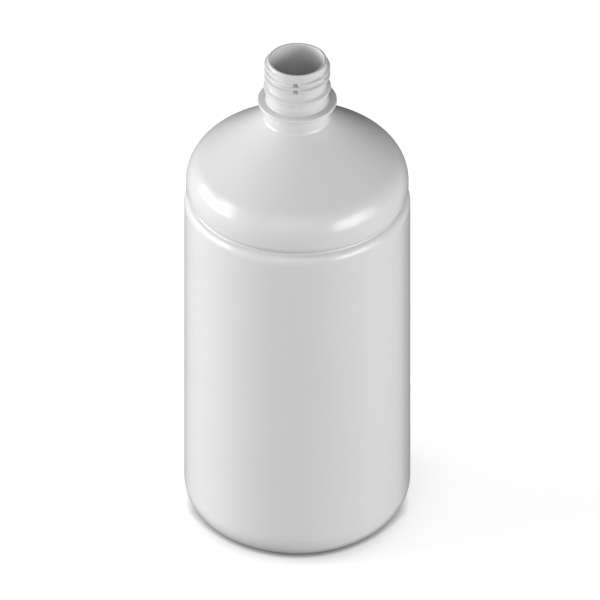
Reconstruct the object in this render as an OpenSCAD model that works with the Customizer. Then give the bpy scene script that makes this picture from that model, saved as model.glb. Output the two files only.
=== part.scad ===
// Cylindrical bottle with a waist groove, a sloping shoulder and a threaded neck.
// It is one moulded piece, open at the mouth. It stands on z = 0 and its axis is z.

/* [Body] */
// Diameter of the straight body
body_d = 94; // [70:1:120]
// Height at which the straight body ends and the waist groove starts
body_h = 153.1; // [90:0.1:200]
// Round between the body and the base
heel_r = 15.2; // [6:0.1:22]
// Thickness of the wall of the body, the shoulder and the base
wall = 1; // [0.6:0.1:1.4]

/* [Base] */
// Diameter of the shallow recess under the base
recess_d = 50; // [36:1:54]
// Depth of that recess
recess_h = 2; // [1:0.1:5]
// Width of the sloping edge of the recess
recess_edge = 5; // [3:0.5:8]

/* [Waist groove] */
// Depth of the groove below the surface of the body
groove_depth = 2.6; // [1.6:0.1:4]
// Steepest tilt of the groove's sides away from upright, in degrees
groove_tilt = 55; // [40:1:65]
// Round at the bottom of the groove
groove_root_r = 1; // [0.6:0.1:1.6]
// Round between the groove and the body below it
groove_lower_r = 4.8; // [2:0.1:7]
// Round between the groove and the shoulder above it
groove_upper_r = 3.2; // [2:0.1:5]

/* [Shoulder] */
// How far the shoulder lies inside the surface of the body
shoulder_inset = 0.7; // [0:0.1:1.2]
// Height of the short upright wall of the shoulder
shoulder_wall_h = 2.5; // [1:0.1:8]
// Round between that wall and the cone
shoulder_r = 15.5; // [8:0.5:20]
// Slope of the cone above the horizontal, in degrees
cone_slope = 38; // [25:1:45]
// Round between the cone and the neck
neck_foot_r = 2.2; // [1:0.1:4]

/* [Neck] */
// Diameter of the bore of the neck
bore_d = 22.3; // [18:0.1:26]
// Thickness of the wall of the threaded neck
neck_wall = 1.2; // [1:0.1:2]
// How far the plain neck under the support ring stands out from the threaded neck
plain_neck_step = 1.35; // [0.4:0.05:2]
// Height of the straight part of the plain neck
plain_neck_h = 6.2; // [2:0.1:15]
// Round at the outer edge of the lip
lip_outer_r = 0.5; // [0.2:0.05:0.6]
// Round at the inner edge of the lip
lip_inner_r = 0.3; // [0.1:0.05:0.35]

/* [Support ring] */
// How far the ring stands out from the threaded neck
ring_reach = 4.15; // [3:0.05:6]
// Thickness of the ring
ring_t = 1.4; // [1.2:0.1:2.5]
// Round at the rim of the ring
ring_rim_r = 0.4; // [0.2:0.05:0.5]
// Round between the top of the ring and the neck above it
ring_foot_r = 0.7; // [0.4:0.1:1.5]
// Height from the underside of the ring to the lip
finish_h = 21.3; // [19:0.1:26]

/* [Bead] */
// Height from the underside of the ring to the middle of the bead
bead_z = 7.75; // [6:0.05:9]
// How far the bead stands out from the threaded neck
bead_reach = 1.7; // [1.2:0.05:2]
// Width of the bead at its foot
bead_w = 1.9; // [1.5:0.1:2.5]
// Width of the flat crest of the bead
bead_crest_w = 0.7; // [0.4:0.1:1.4]
// How far the neck between the ring and the bead stands out from the threaded neck
lower_neck_step = 0.6; // [0.2:0.05:0.9]

/* [Thread] */
// Drop from the lip to the middle of the thread at its upper end
thread_drop = 1.6; // [1.4:0.05:2.4]
// Rise of the thread in one turn
thread_pitch = 3.25; // [2.8:0.05:3.6]
// Number of turns
thread_turns = 2.3; // [1:0.05:2.4]
// How far the thread stands out from the neck
thread_depth = 1.4; // [0.8:0.05:1.8]
// Width of the thread at the neck
thread_w = 1.9; // [1.4:0.05:2.6]
// Width of the crest of the thread
thread_crest_w = 0.7; // [0.4:0.05:1.2]
// Angle of the upper end of the thread, in degrees, measured from the front to the right
thread_start = -42; // [-180:1:180]
// Angle over which each end of the thread fades out
thread_fade = 24; // [10:1:60]
// Width of the slots that interrupt the thread
vent_w = 2.2; // [1:0.1:3]
// Angle of the first slot, measured as the upper end of the thread is
vent_a = -4; // [-180:1:180]
// Angle between the two slots of a pair
vent_gap_a = 59; // [30:1:120]

/* [Hidden] */

// Facets of a full turn, and the angle of one step along a rounded outline
$fn = 128;
outline_step = 5;
// Angle of one step along the thread
thread_step = 10;
// How deep the thread and its slots reach into the wall of the neck
sink = 0.4;
// How far a cutter runs past what it cuts
past = 1;
// The front of the bottle lies along -Y
front_a = -90;

// Radii of the upright surfaces
body_r = body_d / 2;
shoulder_wall_r = body_r - shoulder_inset;
bore_r = bore_d / 2;
neck_r = bore_r + neck_wall;
plain_neck_r = neck_r + plain_neck_step;
ring_r = neck_r + ring_reach;
bead_r = neck_r + bead_reach;
lower_neck_r = neck_r + lower_neck_step;

// The rounds beside the groove are limited by its depth
groove_root_x = body_r - groove_depth;
tilt_loss = 1 - cos(groove_tilt);
lower_r = min(groove_lower_r, groove_depth / tilt_loss - groove_root_r);
upper_depth = shoulder_wall_r - groove_root_x;
upper_r = min(groove_upper_r, upper_depth / tilt_loss - groove_root_r);

// Lengths of the straight sides that are left between the rounds
lower_side = (groove_depth - (lower_r + groove_root_r) * tilt_loss) / sin(groove_tilt);
upper_side = (upper_depth - (upper_r + groove_root_r) * tilt_loss) / sin(groove_tilt);

// Centres of the rounds, going up
heel_c = [body_r - heel_r, heel_r];
lower_c = [body_r - lower_r, body_h];
root_c = [
    groove_root_x + groove_root_r,
    body_h + (lower_r + groove_root_r) * sin(groove_tilt) + lower_side * cos(groove_tilt)
];
upper_c = [
    shoulder_wall_r - upper_r,
    root_c.y + (upper_r + groove_root_r) * sin(groove_tilt) + upper_side * cos(groove_tilt)
];
shoulder_c = [shoulder_wall_r - shoulder_r, upper_c.y + shoulder_wall_h];

// The cone's outward direction, and a point of the cone where the shoulder's round ends
cone_a = 90 - cone_slope;
cone_start = shoulder_c + shoulder_r * [cos(cone_a), sin(cone_a)];
foot_x = plain_neck_r + neck_foot_r;
foot_c = [foot_x, cone_start.y + (neck_foot_r - (foot_x - cone_start.x) * cos(cone_a)) / sin(cone_a)];

// Heights of the ring, the bead and the lip
ring_z = foot_c.y + plain_neck_h;
ring_top = ring_z + ring_t;
bead_mid = ring_z + bead_z;
lip_z = ring_z + finish_h;

// Where the bore runs out into the inside of the cone
bore_end = cone_start.y - (wall - (cone_start.x - bore_r) * cos(cone_a)) / sin(cone_a);

// Sideways shift of the recess's corners from the outside to the inside of the base
recess_shift = wall * tan(atan2(recess_h, recess_edge) / 2);

// Points of a round about centre c with radius r, from angle a to angle b
function round_pts(c, r, a, b) =
    let (n = max(2, ceil(abs(b - a) / outline_step)))
    [for (i = [0 : n]) let (t = a + (b - a) * i / n) c + r * [cos(t), sin(t)]];

// Outside of the bottle, from the middle of the base up to the lip
outside = concat(
    [[0, recess_h], [recess_d / 2 - recess_edge, recess_h], [recess_d / 2, 0]],
    round_pts(heel_c, heel_r, -90, 0),
    round_pts(lower_c, lower_r, 0, groove_tilt),
    round_pts(root_c, groove_root_r, 180 + groove_tilt, 180 - groove_tilt),
    round_pts(upper_c, upper_r, -groove_tilt, 0),
    round_pts(shoulder_c, shoulder_r, 0, cone_a),
    round_pts(foot_c, neck_foot_r, 180 + cone_a, 180),
    [[plain_neck_r, ring_z]],
    round_pts([ring_r - ring_rim_r, ring_z + ring_rim_r], ring_rim_r, -90, 0),
    round_pts([ring_r - ring_rim_r, ring_top - ring_rim_r], ring_rim_r, 0, 90),
    round_pts([lower_neck_r + ring_foot_r, ring_top + ring_foot_r], ring_foot_r, 270, 180),
    [
        [lower_neck_r, bead_mid - bead_w / 2],
        [bead_r, bead_mid - bead_crest_w / 2],
        [bead_r, bead_mid + bead_crest_w / 2],
        [neck_r, bead_mid + bead_w / 2]
    ],
    round_pts([neck_r - lip_outer_r, lip_z - lip_outer_r], lip_outer_r, 0, 90)
);

// Inside of the bottle, from the lip down to the middle of the base
inside = concat(
    round_pts([bore_r + lip_inner_r, lip_z - lip_inner_r], lip_inner_r, 90, 180),
    [[bore_r, bore_end]],
    round_pts(shoulder_c, shoulder_r - wall, cone_a, 0),
    round_pts(upper_c, upper_r - wall, 0, -groove_tilt),
    round_pts(root_c, groove_root_r + wall, 180 - groove_tilt, 180 + groove_tilt),
    round_pts(lower_c, lower_r - wall, groove_tilt, 0),
    round_pts(heel_c, heel_r - wall, 0, -90),
    [
        [recess_d / 2 + recess_shift, wall],
        [recess_d / 2 - recess_edge + recess_shift, recess_h + wall],
        [0, recess_h + wall]
    ]
);

// How much of the thread's depth is left at a turning angle t below its upper end
function fade(t, full) = min(1, t / thread_fade, (full - t) / thread_fade);

// The four corners of the thread's section at that angle
function thread_section(t, full) =
    let (
        a = thread_start + front_a - t,
        z = lip_z - thread_drop - thread_pitch * t / 360,
        deep = neck_r - sink,
        high = neck_r - sink / 2 + (thread_depth + sink / 2) * fade(t, full),
        u = [cos(a), sin(a), 0]
    )
    [
        deep * u + [0, 0, z - thread_w / 2],
        high * u + [0, 0, z - thread_crest_w / 2],
        high * u + [0, 0, z + thread_crest_w / 2],
        deep * u + [0, 0, z + thread_w / 2]
    ];

// The wall of the whole bottle, turned about its axis
module shell() {
    rotate_extrude() polygon(concat(outside, inside));
}

// The helical ridge of the thread, without its slots
module thread_ridge() {
    full = 360 * thread_turns;
    n = ceil(full / thread_step);
    points = [for (i = [0 : n]) each thread_section(full * i / n, full)];
    sides = [for (i = [0 : n - 1], k = [0 : 3])
        [4 * i + k, 4 * i + 4 + k, 4 * i + 4 + (k + 1) % 4, 4 * i + (k + 1) % 4]];
    ends = [[0, 1, 2, 3], [4 * n + 3, 4 * n + 2, 4 * n + 1, 4 * n]];
    polyhedron(points, concat(sides, ends));
}

// Cutters for two pairs of slots, one pair opposite the other
module vent_cutters() {
    low = lip_z - thread_drop - thread_pitch * thread_turns - thread_w / 2 - past;
    for (pair = [0, 180], a = [vent_a, vent_a + vent_gap_a])
        rotate([0, 0, front_a + pair + a])
            translate([neck_r - sink / 2, -vent_w / 2, low])
                cube([thread_depth + sink / 2 + past, vent_w, lip_z - low]);
}

// The bottle: a shell of revolution with an interrupted thread on its neck
module bottle() {
    color("white") {
        shell();
        difference() {
            thread_ridge();
            vent_cutters();
        }
    }
}

bottle();
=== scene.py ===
import math
import bpy
import numpy as np
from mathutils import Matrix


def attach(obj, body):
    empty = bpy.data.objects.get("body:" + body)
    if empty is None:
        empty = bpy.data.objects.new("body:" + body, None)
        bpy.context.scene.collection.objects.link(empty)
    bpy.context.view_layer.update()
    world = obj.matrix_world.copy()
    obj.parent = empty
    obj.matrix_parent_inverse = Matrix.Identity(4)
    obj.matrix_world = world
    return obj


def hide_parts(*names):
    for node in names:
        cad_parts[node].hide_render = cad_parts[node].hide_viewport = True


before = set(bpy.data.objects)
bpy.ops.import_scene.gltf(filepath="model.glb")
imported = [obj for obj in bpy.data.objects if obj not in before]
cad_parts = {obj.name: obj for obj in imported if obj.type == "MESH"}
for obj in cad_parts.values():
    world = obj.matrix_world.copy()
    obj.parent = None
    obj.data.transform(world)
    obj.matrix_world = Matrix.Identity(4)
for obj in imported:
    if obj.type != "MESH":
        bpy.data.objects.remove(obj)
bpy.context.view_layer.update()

# The bottle: one blow-moulded piece of white polyethylene, open at the mouth, with a satin skin.
# Body, shoulder and base are blown from the same stock as the neck, whose thread, bead and ring
# are moulded first. Nothing is fixed to it. The shape's sizes are in millimetres and degrees.
MM = 0.001
BODY_R, BODY_TOP, HEEL_R, WALL = 46.97, 153.1, 15.2, 1.0
RECESS_R, RECESS_H, RECESS_EDGE, RECESS_ROUND = 25.0, 2.0, 5.0, 2.5
RECESS_NEAR, RECESS_FAR = 6.0, 14.0
GROOVE_DEPTH, GROOVE_TILT, GROOVE_ROOT_R, GROOVE_LOWER_R, GROOVE_UPPER_R = 2.6, 55.0, 1.0, 4.8, 3.2
SHOULDER_INSET, SHOULDER_WALL_H, SHOULDER_R, CONE_SLOPE, NECK_FOOT_R = 0.7, 2.5, 15.5, 38.0, 2.2
BORE_R, BORE_FOOT_R, NECK_R, PLAIN_NECK_R, PLAIN_NECK_H = 11.15, 1.0, 12.35, 13.7, 6.2
RING_R, RING_T, RING_RIM_R, RING_FOOT_R, RING_UNDER_R = 16.5, 1.4, 0.4, 0.7, 0.3
FINISH_H, LIP_OUTER_R, LIP_INNER_R = 21.3, 0.5, 0.3
LOWER_NECK_R, BEAD_UP, BEAD_R, BEAD_W, BEAD_CREST_W = 12.95, 7.75, 14.05, 1.9, 0.7
BEAD_CREST_R, BEAD_ROOT_R = 0.25, 0.2
THREAD_DROP, THREAD_PITCH, THREAD_TURNS, THREAD_DEPTH = 1.6, 3.25, 2.3, 1.4
THREAD_W, THREAD_CREST_W, THREAD_START, THREAD_FADE = 1.9, 0.7, -42.0, 24.0
VENT_W, VENT_EDGE, VENT_ANGLES = 2.2, 0.2, (-4.0, 55.0, 176.0, 235.0)
POCKET_DEPTH, POCKET_DROP = 0.6, 0.45
THREAD_SOFT, THREAD_ROWS, COLUMNS = 0.12, 104, 250
TOUCHING, ON_SURFACE = 1e-4, 1e-6


def arc(centre, radius, start, end, rows):
    """Points centre + radius * (cos t, sin t), for rows + 1 even angles t from start to end."""
    t = np.radians(np.linspace(start, end, rows + 1))
    return np.stack([centre[0] + radius * np.cos(t), centre[1] + radius * np.sin(t)], axis=1)


def line(start, end, rows):
    """Points start + (end - start) * k / rows, for k = 0 to rows."""
    k = np.linspace(0, 1, rows + 1)[:, None]
    return np.array(start) * (1 - k) + np.array(end) * k


def corner(before, at, after, radius, rows):
    """A round that touches the lines at-before and at-after: with the angle g between them, it touches
    them at a distance radius / tan(g / 2) from at, and its centre lies radius / sin(g / 2) from at."""
    at = np.array(at, float)
    u, v = np.array(before) - at, np.array(after) - at
    u, v = u / np.linalg.norm(u), v / np.linalg.norm(v)
    half = math.acos(float(u @ v)) / 2
    middle = (u + v) / np.linalg.norm(u + v)
    centre = at + middle * radius / math.sin(half)
    first, last = at + u * radius / math.tan(half) - centre, at + v * radius / math.tan(half) - centre
    a, b = math.atan2(first[1], first[0]), math.atan2(last[1], last[0])
    b = a + (b - a + math.pi) % (2 * math.pi) - math.pi
    return arc(centre, radius, math.degrees(a), math.degrees(b), rows)


# Centres of the rounds going up: the groove's straight sides take what its depth leaves
groove_root_x = BODY_R - GROOVE_DEPTH
shoulder_x = BODY_R - SHOULDER_INSET
side_sin, side_cos = math.sin(math.radians(GROOVE_TILT)), math.cos(math.radians(GROOVE_TILT))
lower_side = (GROOVE_DEPTH - (GROOVE_LOWER_R + GROOVE_ROOT_R) * (1 - side_cos)) / side_sin
upper_side = (shoulder_x - groove_root_x - (GROOVE_UPPER_R + GROOVE_ROOT_R) * (1 - side_cos)) / side_sin
heel_c = (BODY_R - HEEL_R, HEEL_R)
lower_c = (BODY_R - GROOVE_LOWER_R, BODY_TOP)
root_c = (groove_root_x + GROOVE_ROOT_R,
          BODY_TOP + (GROOVE_LOWER_R + GROOVE_ROOT_R) * side_sin + lower_side * side_cos)
upper_c = (shoulder_x - GROOVE_UPPER_R,
           root_c[1] + (GROOVE_UPPER_R + GROOVE_ROOT_R) * side_sin + upper_side * side_cos)
shoulder_c = (shoulder_x - SHOULDER_R, upper_c[1] + SHOULDER_WALL_H)
cone_a = 90 - CONE_SLOPE
cone_cos, cone_sin = math.cos(math.radians(cone_a)), math.sin(math.radians(cone_a))
cone_start = (shoulder_c[0] + SHOULDER_R * cone_cos, shoulder_c[1] + SHOULDER_R * cone_sin)
foot_x = PLAIN_NECK_R + NECK_FOOT_R
foot_c = (foot_x, cone_start[1] + (NECK_FOOT_R - (foot_x - cone_start[0]) * cone_cos) / cone_sin)
ring_z = foot_c[1] + PLAIN_NECK_H
ring_top = ring_z + RING_T
bead_z = ring_z + BEAD_UP
lip_z = ring_z + FINISH_H
bore_end = cone_start[1] - (WALL - (cone_start[0] - BORE_R) * cone_cos) / cone_sin

# The outside, from the middle of the base up to the lip, and the inside, from the lip down again.
# The last number of each line, arc and corner is how many rows of faces it gets.
bead_low, bead_high = (LOWER_NECK_R, bead_z - BEAD_W / 2), (NECK_R, bead_z + BEAD_W / 2)
crest_low, crest_high = (BEAD_R, bead_z - BEAD_CREST_W / 2), (BEAD_R, bead_z + BEAD_CREST_W / 2)
recess_in, recess_out = (RECESS_R - RECESS_EDGE, RECESS_H), (RECESS_R, 0.0)
recess_shift = WALL * math.tan(math.atan2(RECESS_H, RECESS_EDGE) / 2)
floor_out = (RECESS_R + recess_shift, WALL)
floor_in = (RECESS_R - RECESS_EDGE + recess_shift, RECESS_H + WALL)
thread_low, thread_high = bead_high[1] + BEAD_ROOT_R, lip_z - LIP_OUTER_R
outline = np.concatenate([
    [(0.0, RECESS_H)],
    line((RECESS_NEAR, RECESS_H), (RECESS_FAR, RECESS_H), 1),
    corner((0.0, RECESS_H), recess_in, recess_out, RECESS_ROUND, 4),
    corner(recess_in, recess_out, (BODY_R, 0.0), RECESS_ROUND, 4),
    arc(heel_c, HEEL_R, -90, 0, 26),
    line((BODY_R, HEEL_R), (BODY_R, BODY_TOP), 8),
    arc(lower_c, GROOVE_LOWER_R, 0, GROOVE_TILT, 12),
    arc(root_c, GROOVE_ROOT_R, 180 + GROOVE_TILT, 180 - GROOVE_TILT, 14),
    arc(upper_c, GROOVE_UPPER_R, -GROOVE_TILT, 0, 12),
    arc(shoulder_c, SHOULDER_R, 0, cone_a, 20),
    line(cone_start, (foot_c[0] - NECK_FOOT_R * cone_cos, foot_c[1] - NECK_FOOT_R * cone_sin), 5),
    arc(foot_c, NECK_FOOT_R, 180 + cone_a, 180, 10),
    corner((PLAIN_NECK_R, foot_c[1]), (PLAIN_NECK_R, ring_z), (RING_R, ring_z), RING_UNDER_R, 5),
    arc((RING_R - RING_RIM_R, ring_z + RING_RIM_R), RING_RIM_R, -90, 0, 7),
    arc((RING_R - RING_RIM_R, ring_top - RING_RIM_R), RING_RIM_R, 0, 90, 7),
    arc((LOWER_NECK_R + RING_FOOT_R, ring_top + RING_FOOT_R), RING_FOOT_R, 270, 180, 10),
    corner((LOWER_NECK_R, ring_top), bead_low, crest_low, BEAD_ROOT_R, 4),
    corner(bead_low, crest_low, crest_high, BEAD_CREST_R, 5),
    corner(crest_low, crest_high, bead_high, BEAD_CREST_R, 5),
    corner(crest_high, bead_high, (NECK_R, lip_z), BEAD_ROOT_R, 4),
    line((NECK_R, thread_low), (NECK_R, thread_high), THREAD_ROWS),
    arc((NECK_R - LIP_OUTER_R, thread_high), LIP_OUTER_R, 0, 90, 7),
    arc((BORE_R + LIP_INNER_R, lip_z - LIP_INNER_R), LIP_INNER_R, 90, 180, 6),
    line((BORE_R, lip_z - LIP_INNER_R), (BORE_R, bore_end + BORE_FOOT_R), 5),
    corner((BORE_R, lip_z), (BORE_R, bore_end), cone_start, BORE_FOOT_R, 5),
    arc(shoulder_c, SHOULDER_R - WALL, cone_a, 0, 8),
    arc(upper_c, GROOVE_UPPER_R - WALL, 0, -GROOVE_TILT, 6),
    arc(root_c, GROOVE_ROOT_R + WALL, 180 - GROOVE_TILT, 180 + GROOVE_TILT, 6),
    arc(lower_c, GROOVE_LOWER_R - WALL, GROOVE_TILT, 0, 6),
    line((BODY_R - WALL, BODY_TOP), (BODY_R - WALL, HEEL_R), 4),
    arc(heel_c, HEEL_R - WALL, 0, -90, 12),
    corner((BODY_R, WALL), floor_out, floor_in, RECESS_ROUND, 3),
    corner(floor_out, floor_in, (0.0, RECESS_H + WALL), RECESS_ROUND, 3),
    line((RECESS_FAR, RECESS_H + WALL), (RECESS_NEAR, RECESS_H + WALL), 1),
    [(0.0, RECESS_H + WALL)],
])
apart = np.linalg.norm(np.diff(outline, axis=0), axis=1) > TOUCHING
outline = outline[np.concatenate([[True], apart])]


def ramp(x, soft):
    """0 below 0, 1 above 1 and straight between, with the two bends eased over a width of about soft:
    (sqrt(x^2 + soft^2) - sqrt((x - 1)^2 + soft^2) + 1) / 2."""
    return (np.sqrt(x * x + soft * soft) - np.sqrt((x - 1) ** 2 + soft * soft) + 1) / 2


def smooth(x):
    """0 below 0, 1 above 1, and 3 x^2 - 2 x^3 between."""
    x = np.clip(x, 0, 1)
    return x * x * (3 - 2 * x)


def turned(a):
    """The angle a brought between -180 and 180 degrees."""
    return (a + 180) % 360 - 180


def thread_height(a, z):
    """How far the thread stands out at angle a and height z. A point t degrees below the upper end lies
    at the angle THREAD_START - t and drops THREAD_PITCH a turn. The ridge is full inside half its crest
    width and gone at half its foot width, and it fades over THREAD_FADE at both ends. The slots cut it
    where the sideways distance NECK_R * sin(a - slot) is under half their width. There each ridge leaves
    a pocket as wide as its foot, POCKET_DEPTH deep and POCKET_DROP below the ridge's middle."""
    full = 360 * THREAD_TURNS
    height = np.zeros(np.broadcast(a, z).shape)
    pocket = np.zeros_like(height)
    for turn in range(int(THREAD_TURNS) + 1):
        t = (THREAD_START - a) % 360 + 360 * turn
        middle = lip_z - THREAD_DROP - THREAD_PITCH * t / 360
        ends = smooth(np.minimum(t, full - t) / THREAD_FADE)
        away = np.abs(z - middle)
        ridge = ramp((THREAD_W / 2 - away) / (THREAD_W / 2 - THREAD_CREST_W / 2), THREAD_SOFT)
        ridge = np.where(away < THREAD_PITCH / 2, ridge, 0)
        height = np.maximum(height, THREAD_DEPTH * ridge * ends)
        away = np.abs(z - middle + POCKET_DROP)
        pocket = np.maximum(pocket, ends * smooth((THREAD_W / 2 - away) / VENT_EDGE))
    for slot in VENT_ANGLES:
        off = turned(a - slot)
        aside = np.where(np.abs(off) < 90, np.abs(NECK_R * np.sin(np.radians(off))), NECK_R)
        kept = smooth((aside - VENT_W / 2) / VENT_EDGE + 0.5)
        height = height * kept - POCKET_DEPTH * pocket * (1 - kept)
    return height


# Columns lie closer at the slots: their angles divide the sum of a density evenly. The density is
# 1 + SLOT_EXTRA * exp(-((a - slot) / SLOT_SPREAD)^4) at the angle a.
SLOT_EXTRA, SLOT_SPREAD, FINE_ANGLES = 3.5, 4.5, 7201
fine = np.linspace(-180, 180, FINE_ANGLES)
density = np.ones_like(fine)
for slot in VENT_ANGLES:
    density += SLOT_EXTRA * np.exp(-((turned(fine - slot) / SLOT_SPREAD) ** 4))
summed = np.concatenate([[0], np.cumsum((density[1:] + density[:-1]) / 2)])
angles = np.interp(np.arange(COLUMNS) / COLUMNS, summed / summed[-1], fine)

# The outline is turned about the axis, the thread is added on the neck, and both poles are closed
radius = np.repeat(outline[1:-1, 0:1], COLUMNS, axis=1)
height = np.repeat(outline[1:-1, 1:2], COLUMNS, axis=1)
on_neck = (np.abs(radius - NECK_R) < ON_SURFACE) & (height > thread_low - ON_SURFACE)
radius = radius + np.where(on_neck, thread_height(angles[None, :], height), 0)
across, ahead = np.sin(np.radians(angles)), -np.cos(np.radians(angles))
shell = np.stack([radius * across, radius * ahead, height], axis=-1).reshape(-1, 3)
poles = np.array([(0, 0, outline[0, 1]), (0, 0, outline[-1, 1])])
points = np.concatenate([shell, poles]) * MM

rows = len(outline) - 2
here = np.arange(COLUMNS)
after = (here + 1) % COLUMNS
start = np.arange(rows - 1)[:, None] * COLUMNS
quads = np.stack([start + here, start + after, start + COLUMNS + after, start + COLUMNS + here], axis=-1)
last = (rows - 1) * COLUMNS
low_fan = np.stack([np.full(COLUMNS, len(shell)), after, here], axis=-1)
high_fan = np.stack([np.full(COLUMNS, len(shell) + 1), last + here, last + after], axis=-1)
faces = quads.reshape(-1, 4).tolist() + low_fan.tolist() + high_fan.tolist()
bottle_mesh = bpy.data.meshes.new("bottle_skin")
bottle_mesh.from_pydata(points.tolist(), [], faces)
bottle_mesh.polygons.foreach_set("use_smooth", np.ones(len(faces), dtype=bool))
bottle_mesh.validate()
bottle_skin = bpy.data.objects.new("bottle_skin", bottle_mesh)
bpy.context.scene.collection.objects.link(bottle_skin)

# The skin: white plastic whose tint and gloss vary faintly in wide clouds, with a very fine peel. Its colour
# has painted shade: it is darkened in its creases, down to CREASE_SHADE of its colour, where less than
# CREASE_REACH metres of open space lie before it.
CLOUD_SIZE, CLOUD_DETAIL, DARK_TINT, LIGHT_TINT = 28.0, 3.0, (0.75, 0.75, 0.75, 1), (0.78, 0.78, 0.78, 1)
GLOSSY, SATIN, PLASTIC_IOR = 0.19, 0.23, 1.5
CREASE_REACH, CREASE_SHADE = 0.003, 0.55
PEEL_SIZE, PEEL_DETAIL, PEEL_STRENGTH, PEEL_HEIGHT = 900.0, 2.0, 0.15, 0.00002
plastic = bpy.data.materials.new("white_plastic_skin")
plastic.use_nodes = True
nodes, links = plastic.node_tree.nodes, plastic.node_tree.links
skin = nodes["Principled BSDF"]
place = nodes.new("ShaderNodeTexCoord")
cloud = nodes.new("ShaderNodeTexNoise")
cloud.inputs["Scale"].default_value = CLOUD_SIZE
cloud.inputs["Detail"].default_value = CLOUD_DETAIL
tint = nodes.new("ShaderNodeValToRGB")
tint.color_ramp.elements[0].color = DARK_TINT
tint.color_ramp.elements[1].color = LIGHT_TINT
gloss = nodes.new("ShaderNodeMapRange")
gloss.inputs["To Min"].default_value = GLOSSY
gloss.inputs["To Max"].default_value = SATIN
# Painted shade: this AO node darkens the skin's colour in its creases, where shade would fall
painted_crease_shade = nodes.new("ShaderNodeAmbientOcclusion")
painted_crease_shade.samples = 8
painted_crease_shade.inputs["Distance"].default_value = CREASE_REACH
crease_shade_scale = nodes.new("ShaderNodeMapRange")
crease_shade_scale.inputs["To Min"].default_value = CREASE_SHADE
crease_shade_scale.inputs["To Max"].default_value = 1.0
tint_with_painted_shade = nodes.new("ShaderNodeVectorMath")
tint_with_painted_shade.operation = "SCALE"
peel = nodes.new("ShaderNodeTexNoise")
peel.inputs["Scale"].default_value = PEEL_SIZE
peel.inputs["Detail"].default_value = PEEL_DETAIL
relief = nodes.new("ShaderNodeBump")
relief.inputs["Strength"].default_value = PEEL_STRENGTH
relief.inputs["Distance"].default_value = PEEL_HEIGHT
links.new(place.outputs["Object"], cloud.inputs["Vector"])
links.new(place.outputs["Object"], peel.inputs["Vector"])
links.new(cloud.outputs["Fac"], tint.inputs["Fac"])
links.new(cloud.outputs["Fac"], gloss.inputs["Value"])
links.new(painted_crease_shade.outputs["AO"], crease_shade_scale.inputs["Value"])
links.new(tint.outputs["Color"], tint_with_painted_shade.inputs[0])
links.new(crease_shade_scale.outputs["Result"], tint_with_painted_shade.inputs["Scale"])
links.new(tint_with_painted_shade.outputs["Vector"], skin.inputs["Base Color"])
links.new(gloss.outputs["Result"], skin.inputs["Roughness"])
links.new(peel.outputs["Fac"], relief.inputs["Height"])
links.new(relief.outputs["Normal"], skin.inputs["Normal"])
skin.inputs["IOR"].default_value = PLASTIC_IOR
bottle_mesh.materials.append(plastic)
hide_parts("bottle")
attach(bottle_skin, "root")

# The floor: a wide plain sheet of matt white board that the bottle stands on. It isn't part of the
# object. The camera sees it a little brighter than the lamps alone make it, so that it ends in white.
# A contact shadow is painted into that glow, in a wide part and a close one; the close part is painted
# into the board's colour too.
FLOOR_HALF, FLOOR_COLOUR, FLOOR_ROUGHNESS, FLOOR_GLOW = 3.0, (0.5, 0.5, 0.5), 0.9, 0.80
reach = np.array([[-1, -1, 0], [1, -1, 0], [1, 1, 0], [-1, 1, 0]]) * FLOOR_HALF
floor_mesh = bpy.data.meshes.new("floor")
floor_mesh.from_pydata(reach.tolist(), [], [(0, 1, 2, 3)])
floor = bpy.data.objects.new("floor", floor_mesh)
bpy.context.scene.collection.objects.link(floor)
board = bpy.data.materials.new("white_board")
board.use_nodes = True
nodes, links = board.node_tree.nodes, board.node_tree.links
matt = nodes["Principled BSDF"]
matt.inputs["Roughness"].default_value = FLOOR_ROUGHNESS
matt.inputs["Specular IOR Level"].default_value = 0.0

# The wide part of the painted shadow leaves 1 - WIDE_DEPTH * shut^2 of the glow, where shut is the share
# of the sky that the bottle hides within WIDE_REACH metres
WIDE_REACH, WIDE_DEPTH, SHADOW_SAMPLES = 0.06, 0.8, 16
wide_shadow_ao = nodes.new("ShaderNodeAmbientOcclusion")
wide_shadow_ao.samples = SHADOW_SAMPLES
wide_shadow_ao.inputs["Distance"].default_value = WIDE_REACH
shut = nodes.new("ShaderNodeMath")
shut.operation = "SUBTRACT"
shut.inputs[0].default_value = 1.0
squared = nodes.new("ShaderNodeMath")
squared.operation = "POWER"
squared.inputs[1].default_value = 2.0
left = nodes.new("ShaderNodeMath")
left.operation = "MULTIPLY_ADD"
left.inputs[1].default_value = -WIDE_DEPTH
left.inputs[2].default_value = 1.0
links.new(wide_shadow_ao.outputs["AO"], shut.inputs[1])
links.new(shut.outputs["Value"], squared.inputs[0])
links.new(squared.outputs["Value"], left.inputs[0])

# The close part of the painted shadow darkens both the board's colour and its glow by up to CLOSE_DEPTH. Its
# reach is AHEAD_REACH in front of the bottle, where the front lamps shine under it, and grows to ASIDE_REACH
# at
# its sides: with k from 0 at AHEAD metres in front to 1 at ASIDE, it is AHEAD_REACH + k^2 * (ASIDE_REACH -
# AHEAD_REACH).
AHEAD, ASIDE, AHEAD_REACH, ASIDE_REACH, CLOSE_DEPTH = 0.037, 0.007, 0.0022, 0.006, 0.85
spot = nodes.new("ShaderNodeTexCoord")
spot_parts = nodes.new("ShaderNodeSeparateXYZ")
beside = nodes.new("ShaderNodeMapRange")
beside.inputs["From Min"].default_value = -AHEAD
beside.inputs["From Max"].default_value = -ASIDE
beside_squared = nodes.new("ShaderNodeMath")
beside_squared.operation = "POWER"
beside_squared.inputs[1].default_value = 2.0
reach_here = nodes.new("ShaderNodeMath")
reach_here.operation = "MULTIPLY_ADD"
reach_here.inputs[1].default_value = ASIDE_REACH - AHEAD_REACH
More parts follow.
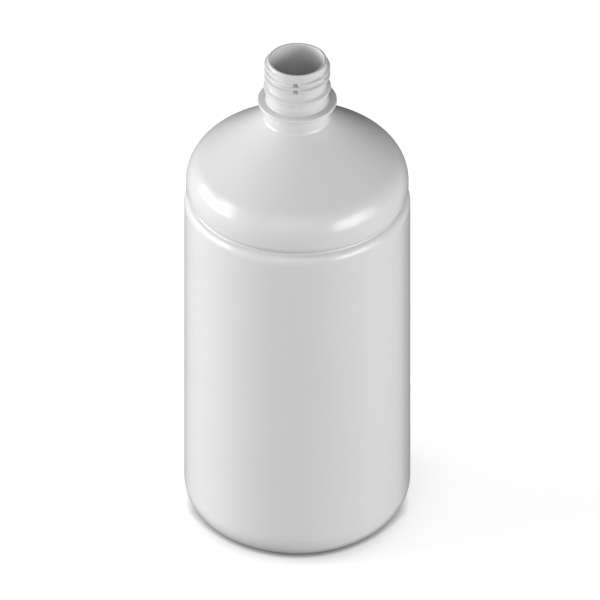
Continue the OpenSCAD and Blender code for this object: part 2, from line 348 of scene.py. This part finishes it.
reach_here.inputs[2].default_value = AHEAD_REACH
close_shadow_ao = nodes.new("ShaderNodeAmbientOcclusion")
close_shadow_ao.samples = SHADOW_SAMPLES
open_sky = nodes.new("ShaderNodeMapRange")
open_sky.inputs["To Min"].default_value = 1 - CLOSE_DEPTH
open_sky.inputs["To Max"].default_value = 1.0
board_colour_painted_shadow = nodes.new("ShaderNodeVectorMath")
board_colour_painted_shadow.operation = "SCALE"
board_colour_painted_shadow.inputs[0].default_value = FLOOR_COLOUR
glow_colour_painted_shadow = nodes.new("ShaderNodeMath")
glow_colour_painted_shadow.operation = "MULTIPLY"
seen = nodes.new("ShaderNodeLightPath")
glow = nodes.new("ShaderNodeMath")
glow.operation = "MULTIPLY"
glow.inputs[1].default_value = FLOOR_GLOW
links.new(spot.outputs["Object"], spot_parts.inputs["Vector"])
links.new(spot_parts.outputs["Y"], beside.inputs["Value"])
links.new(beside.outputs["Result"], beside_squared.inputs[0])
links.new(beside_squared.outputs["Value"], reach_here.inputs[0])
links.new(reach_here.outputs["Value"], close_shadow_ao.inputs["Distance"])
links.new(close_shadow_ao.outputs["AO"], open_sky.inputs["Value"])
links.new(open_sky.outputs["Result"], board_colour_painted_shadow.inputs["Scale"])
links.new(open_sky.outputs["Result"], glow_colour_painted_shadow.inputs[0])
links.new(left.outputs["Value"], glow_colour_painted_shadow.inputs[1])
links.new(seen.outputs["Is Camera Ray"], glow.inputs[0])
# The board's colour and the colour of its glow carry the painted contact shadow
links.new(board_colour_painted_shadow.outputs["Vector"], matt.inputs["Base Color"])
links.new(glow_colour_painted_shadow.outputs["Value"], matt.inputs["Emission Color"])
links.new(glow.outputs["Value"], matt.inputs["Emission Strength"])
floor_mesh.materials.append(board)
floor.visible_glossy = False

# The camera: parallel projection, turned 0 degrees round the bottle and raised 35.26 degrees, as an
# isometric view is. 600 pixels span VIEW_WIDTH, and it aims at AIM, which lies in the picture's middle.
VIEW_WIDTH, AIM, CAMERA_AWAY = 0.24927, (0.00113, 0.0, 0.10314), 1.5
RAISED = math.atan(math.sqrt(0.5))
camera_data = bpy.data.cameras.new("camera")
camera_data.type = "ORTHO"
camera_data.ortho_scale = VIEW_WIDTH
camera = bpy.data.objects.new("camera", camera_data)
camera.location = (AIM[0], AIM[1] - CAMERA_AWAY * math.cos(RAISED), AIM[2] + CAMERA_AWAY * math.sin(RAISED))
camera.rotation_euler = (math.pi / 2 - RAISED, 0, 0)
bpy.context.scene.collection.objects.link(camera)
bpy.context.scene.camera = camera

# The lamps: soft panels around the bottle, each facing its middle. Each row gives a panel's name, its
# turn from the front to the right and its height, in degrees, its distance, width and height in
# metres, and its power in watts.
LAMPS = [
    ("left_edge", -105, 9, 4.0, 1.15, 1.15, 65.0),
    ("left_side", -90, 9, 4.0, 1.15, 1.15, 63.0),
    ("left_front", -75, 9, 4.0, 1.15, 1.15, 26.0),
    ("left_high", -80, 26, 4.0, 1.3, 1.3, 33.0),
    ("left_top", -120, 60, 4.0, 1.3, 1.3, 11.0),
    ("front", -8, 30, 4.0, 2.4, 3.6, 30.0),
    ("front_right", 25, 30, 4.0, 2.0, 3.6, 11.0),
    ("right_front", 45, 9, 4.0, 1.15, 2.0, 46.0),
    ("right_side", 60, 9, 4.0, 1.15, 2.0, 46.0),
    ("right_edge", 75, 9, 4.0, 1.15, 2.0, 22.0),
    ("right_high", 60, 26, 4.0, 2.0, 2.0, 8.0),
    ("top", 0, 88, 4.0, 2.0, 2.0, 3.0),
]
LAMP_AIM = np.array([0.0, 0.0, 0.11])
for name, turn, raised, away, wide, tall, power in LAMPS:
    turn, raised = math.radians(turn), math.radians(raised)
    out = np.array([math.sin(turn) * math.cos(raised), -math.cos(turn) * math.cos(raised), math.sin(raised)])
    lamp_data = bpy.data.lights.new(name, "AREA")
    lamp_data.shape = "RECTANGLE"
    lamp_data.size = wide
    lamp_data.size_y = tall
    lamp_data.energy = power
    lamp = bpy.data.objects.new(name, lamp_data)
    lamp.location = LAMP_AIM + away * out
    lamp.rotation_euler = (math.pi / 2 - raised, 0, turn)
    bpy.context.scene.collection.objects.link(lamp)

# The room: white behind everything for the camera. What the gloss of the bottle mirrors from below is
# a dim grey, with a lighter soft-edged patch low on the right, as beside a bright sheet. The patch is
# BAND_HALF degrees wide to either side of BAND_TURN, which is counted from the front to the right.
# Both end in a band HORIZON_SOFT high above and below the horizon.
LOW_GREY, BAND_GLOW, BAND_TURN, BAND_HALF, BAND_EDGE, HORIZON_SOFT = 0.07, 0.57, 105, 30, 6, 0.05
room = bpy.data.worlds.new("room")
room.use_nodes = True
bpy.context.scene.world = room
nodes, links = room.node_tree.nodes, room.node_tree.links
way = nodes.new("ShaderNodeTexCoord")
spin = nodes.new("ShaderNodeVectorRotate")
spin.rotation_type = "Z_AXIS"
spin.inputs["Angle"].default_value = math.pi / 2 - math.radians(BAND_TURN)
parts = nodes.new("ShaderNodeSeparateXYZ")
round_angle = nodes.new("ShaderNodeMath")
round_angle.operation = "ARCTAN2"
aside = nodes.new("ShaderNodeMath")
aside.operation = "ABSOLUTE"
patch = nodes.new("ShaderNodeMapRange")
patch.interpolation_type = "SMOOTHSTEP"
patch.inputs["From Min"].default_value = math.radians(BAND_HALF + BAND_EDGE)
patch.inputs["From Max"].default_value = math.radians(BAND_HALF - BAND_EDGE)
patch.inputs["To Min"].default_value = LOW_GREY
patch.inputs["To Max"].default_value = LOW_GREY + BAND_GLOW
below = nodes.new("ShaderNodeMapRange")
below.inputs["From Min"].default_value = HORIZON_SOFT
below.inputs["From Max"].default_value = -HORIZON_SOFT
strength = nodes.new("ShaderNodeMath")
strength.operation = "MULTIPLY"
grey = nodes["Background"]
white = nodes.new("ShaderNodeBackground")
white.inputs["Color"].default_value = (1, 1, 1, 1)
grey.inputs["Color"].default_value = (1, 1, 1, 1)
seen = nodes.new("ShaderNodeLightPath")
either = nodes.new("ShaderNodeMixShader")
links.new(way.outputs["Generated"], spin.inputs["Vector"])
links.new(spin.outputs["Vector"], parts.inputs["Vector"])
links.new(parts.outputs["Y"], round_angle.inputs[0])
links.new(parts.outputs["X"], round_angle.inputs[1])
links.new(round_angle.outputs["Value"], aside.inputs[0])
links.new(aside.outputs["Value"], patch.inputs["Value"])
links.new(parts.outputs["Z"], below.inputs["Value"])
links.new(patch.outputs["Result"], strength.inputs[0])
links.new(below.outputs["Result"], strength.inputs[1])
links.new(strength.outputs["Value"], grey.inputs["Strength"])
links.new(seen.outputs["Is Camera Ray"], either.inputs["Fac"])
links.new(grey.outputs["Background"], either.inputs[1])
links.new(white.outputs["Background"], either.inputs[2])
links.new(either.outputs["Shader"], nodes["World Output"].inputs["Surface"])
room.cycles.sampling_method = "NONE"

view = bpy.context.scene.view_settings
view.view_transform = "Standard"
